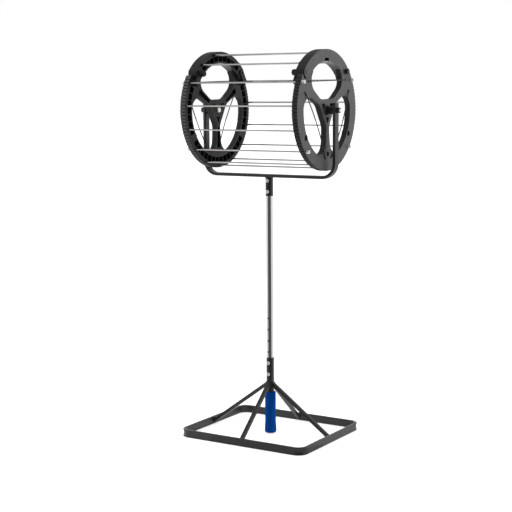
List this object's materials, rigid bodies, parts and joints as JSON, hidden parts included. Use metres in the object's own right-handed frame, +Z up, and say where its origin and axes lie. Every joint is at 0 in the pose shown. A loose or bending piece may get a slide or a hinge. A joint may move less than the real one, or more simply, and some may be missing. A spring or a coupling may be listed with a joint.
{
  "type": "tennis ball picker",
  "caption": "Rolling cage drum of steel rods between toothed plastic discs, on a fork with a telescopic pole, a hand grip and a base ring that stands it on the floor.",
  "frame": {"origin": "on the floor under the pole's axis, the centre of the base ring", "axes": "+Z up, X along the drum's axle, -Y towards the side with the screw heads and the lid's pivots"},
  "size_m": [0.412, 0.3084, 0.9914],
  "materials": {
    "satin_black_paint": "satin black powder coat",
    "dark_grey_plastic": "moulded, fine matt grain",
    "black_plastic": "moulded black",
    "black_wire": "black coated steel wire",
    "bright_steel": "bright drawn rod",
    "chrome_plate": "polished plate",
    "zinc_plate": "bright zinc",
    "blue_grip": "matt blue, fine ribs at its lower end"
  },
  "bodies": {
    "stand": {"base_ring": "satin_black_paint", "hand_grip": "blue_grip", "handle_screw_1": "zinc_plate", "handle_screw_2": "zinc_plate", "handle_tube": "satin_black_paint", "strut_front": "satin_black_paint", "strut_left": "satin_black_paint", "strut_rear": "satin_black_paint", "strut_right": "satin_black_paint"},
    "mast": {"axle_bolt_left": "zinc_plate", "axle_bolt_right": "zinc_plate", "axle_nut_left": "zinc_plate", "axle_nut_right": "zinc_plate", "axle_spacer_left": "black_plastic", "axle_spacer_right": "black_plastic", "fork": "satin_black_paint", "fork_socket": "satin_black_paint", "pole": "chrome_plate", "socket_screw_1": "zinc_plate", "socket_screw_2": "zinc_plate"},
    "drum": {"disc_left": "dark_grey_plastic", "disc_right": "dark_grey_plastic", "guard_wire_left_1": "black_wire", "guard_wire_left_2": "black_wire", "guard_wire_left_3": "black_wire", "guard_wire_right_1": "black_wire", "guard_wire_right_2": "black_wire", "guard_wire_right_3": "black_wire", "lid_pivot_left": "black_plastic", "lid_pivot_right": "black_plastic", "rod_01": "bright_steel", "rod_02": "bright_steel", "rod_03": "bright_steel", "rod_04": "bright_steel", "rod_05": "bright_steel", "rod_06": "bright_steel", "rod_07": "bright_steel", "tie_nut_left_1": "zinc_plate", "tie_nut_left_2": "zinc_plate", "tie_nut_left_3": "zinc_plate", "tie_nut_left_4": "zinc_plate", "tie_nut_right_1": "zinc_plate", "tie_nut_right_2": "zinc_plate", "tie_nut_right_3": "zinc_plate", "tie_nut_right_4": "zinc_plate", "tie_rod_1": "bright_steel", "tie_rod_2": "bright_steel", "tie_rod_3": "bright_steel", "tie_rod_4": "bright_steel"},
    "lid": {"lid_arc_left": "dark_grey_plastic", "lid_arc_right": "dark_grey_plastic", "lid_rod_1": "bright_steel", "lid_rod_2": "bright_steel", "lid_rod_3": "bright_steel", "lid_rod_4": "bright_steel"},
    "latch_right": {"latch_knob_right": "black_plastic"},
    "latch_left": {"latch_knob_left": "black_plastic"}
  },
  "joints": [
    {"name": "mast_slide", "type": "slide", "parent": "stand", "child": "mast", "axis": [0, 0, 1], "range_m": [-0.118, 0]},
    {"name": "drum_spin", "type": "hinge", "parent": "mast", "child": "drum", "pos_m": [0, 0, 0.8416], "axis": [1, 0, 0], "continuous": true},
    {"name": "lid_swing", "type": "hinge", "parent": "drum", "child": "lid", "pos_m": [0, -0.09833, 0.9341], "axis": [1, 0, 0], "range_deg": [0, 85]},
    {"name": "latch_right_pull", "type": "slide", "parent": "lid", "child": "latch_right", "axis": [1, 0, 0], "range_m": [0, 0.006], "stiffness_N_per_m": 300, "springref_m": -0.001},
    {"name": "latch_left_pull", "type": "slide", "parent": "lid", "child": "latch_left", "axis": [-1, 0, 0], "range_m": [0, 0.006], "stiffness_N_per_m": 300, "springref_m": -0.001}
  ]
}
